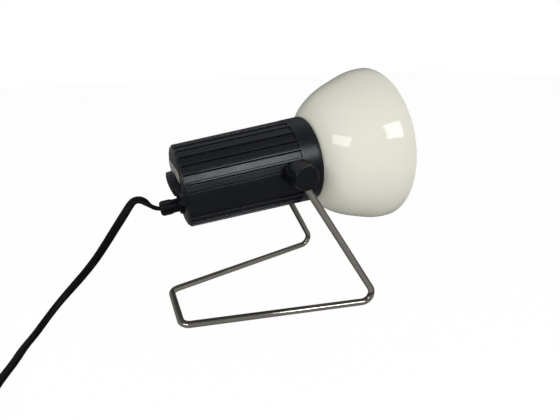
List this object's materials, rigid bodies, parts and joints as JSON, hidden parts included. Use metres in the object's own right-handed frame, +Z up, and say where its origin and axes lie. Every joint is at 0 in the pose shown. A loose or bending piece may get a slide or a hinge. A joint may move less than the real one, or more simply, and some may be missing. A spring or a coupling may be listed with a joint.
{
  "type": "infrared lamp",
  "caption": "Table infrared lamp: a ribbed black barrel and an ivory bell shade round a red reflector bulb, clamped by two knobs in a bent wire stand, with a mains cord",
  "frame": {"origin": "on the table, under the middle of the lamp's length and width, its cord apart", "axes": "+X is the way the light points, +Z is up, +Y is the far side of the picture"},
  "size_m": [0.4338, 0.191, 0.2001],
  "materials": {
    "black_housing": "fine moulded texture, half matt",
    "black_smooth": "smooth satin",
    "label_foil": "plain satin foil",
    "screw_steel": "zinc plated",
    "cord_cover": "satin flexible sheath",
    "lead_insulation": "plain",
    "plate_steel": "zinc plated",
    "porcelain": "glazed",
    "brass": "bright",
    "ivory_shade": "gloss",
    "red_glass": "clear red, gloss",
    "lamp_cap": "bright",
    "black_glass": "gloss",
    "clear_glass": "clear",
    "tungsten": "dark",
    "fibre": "matt fibre",
    "wire_nickel": "satin bright nickel",
    "pin_nickel": "bright nickel",
    "sleeve_plastic": "satin"
  },
  "bodies": {
    "stand": {"stand_wire": "wire_nickel", "cord_stretch": "cord_cover", "cord_coil": "cord_cover", "coil_tie": "black_smooth", "cord_end": "cord_cover", "plug_body": "sleeve_plastic", "plug_pins": "pin_nickel"},
    "head": {"housing": "black_housing", "rear_cap": "black_housing", "rating_label": "label_foil", "cap_screws": "screw_steel", "clamp_screws": "screw_steel", "plate_screws": "screw_steel", "holder_screws": "screw_steel", "shade_screws": "screw_steel", "cord_gland": "black_smooth", "gland_nut": "black_smooth", "cord_clamp": "black_smooth", "cord_inner_end": "cord_cover", "internal_leads": "lead_insulation", "holder_plate": "plate_steel", "lamp_holder": "porcelain", "holder_shell": "brass", "holder_contact": "brass", "holder_terminals": "brass", "shade": "ivory_shade", "bulb_glass": "red_glass", "bulb_cap": "lamp_cap", "bulb_insulator": "black_glass", "bulb_contact": "brass", "bulb_stem": "clear_glass", "bulb_filament": "tungsten", "thread_insert_near": "brass", "thread_insert_far": "brass", "friction_washer_near": "fibre", "friction_washer_far": "fibre"},
    "near_knob": {"knob_near": "black_smooth", "knob_stud_near": "screw_steel", "knob_washer_near": "screw_steel"},
    "far_knob": {"knob_far": "black_smooth", "knob_stud_far": "screw_steel", "knob_washer_far": "screw_steel"}
  },
  "joints": [
    {"name": "head_tilt", "type": "hinge", "parent": "stand", "child": "head", "pos_m": [0.00346, 0, 0.1258], "axis": [0, 1, 0], "range_deg": [-45, 26], "deforming": ["cord_stretch"]},
    {"name": "near_knob_turn", "type": "hinge", "parent": "head", "child": "near_knob", "pos_m": [0.00346, -0.0495, 0.1258], "axis": [0, -1, 0], "range_deg": [0, 180]},
    {"name": "far_knob_turn", "type": "hinge", "parent": "head", "child": "far_knob", "pos_m": [0.00346, 0.0495, 0.1258], "axis": [0, 1, 0], "range_deg": [0, 180]}
  ]
}
